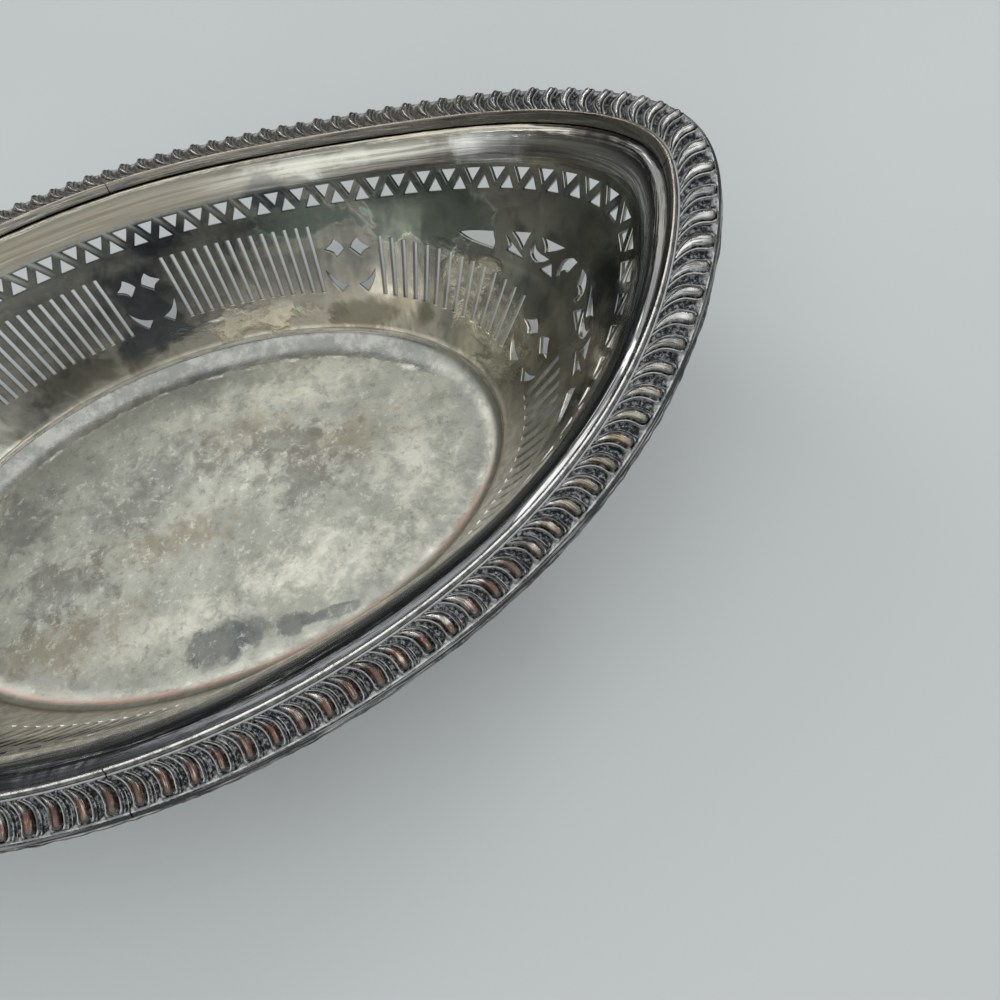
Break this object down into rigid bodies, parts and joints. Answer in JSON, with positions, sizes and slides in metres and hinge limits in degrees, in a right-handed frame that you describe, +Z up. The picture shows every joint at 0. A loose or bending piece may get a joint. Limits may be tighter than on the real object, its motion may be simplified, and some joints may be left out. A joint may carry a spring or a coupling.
{
  "type": "pierced bread bowl",
  "caption": "Oval boat-shaped silver-plated bread bowl with raised ends, a pierced wall and a gadroon border on its rim.",
  "frame": {"origin": "middle of the flat underside, on the table", "axes": "+X along the bowl from end to end, +Y across it, +Z up"},
  "size_m": [0.2996, 0.1858, 0.0767],
  "materials": {
    "silver_plate": "old silver plate on copper: polished, with grey and brown tarnish and a scratched floor",
    "border_plate": "bright silver plate on struck sheet, dark in the hollows and worn to copper on the heads",
    "solder": "dull grey soft solder, hidden inside the border"
  },
  "bodies": {
    "root": {"bowl_body": "silver_plate", "gadroon_border_right_back": "border_plate", "gadroon_border_left_back": "border_plate", "gadroon_border_left_front": "border_plate", "gadroon_border_right_front": "border_plate", "border_solder_right_back": "solder", "border_solder_left_back": "solder", "border_solder_left_front": "solder", "border_solder_right_front": "solder"}
  },
  "joints": []
}
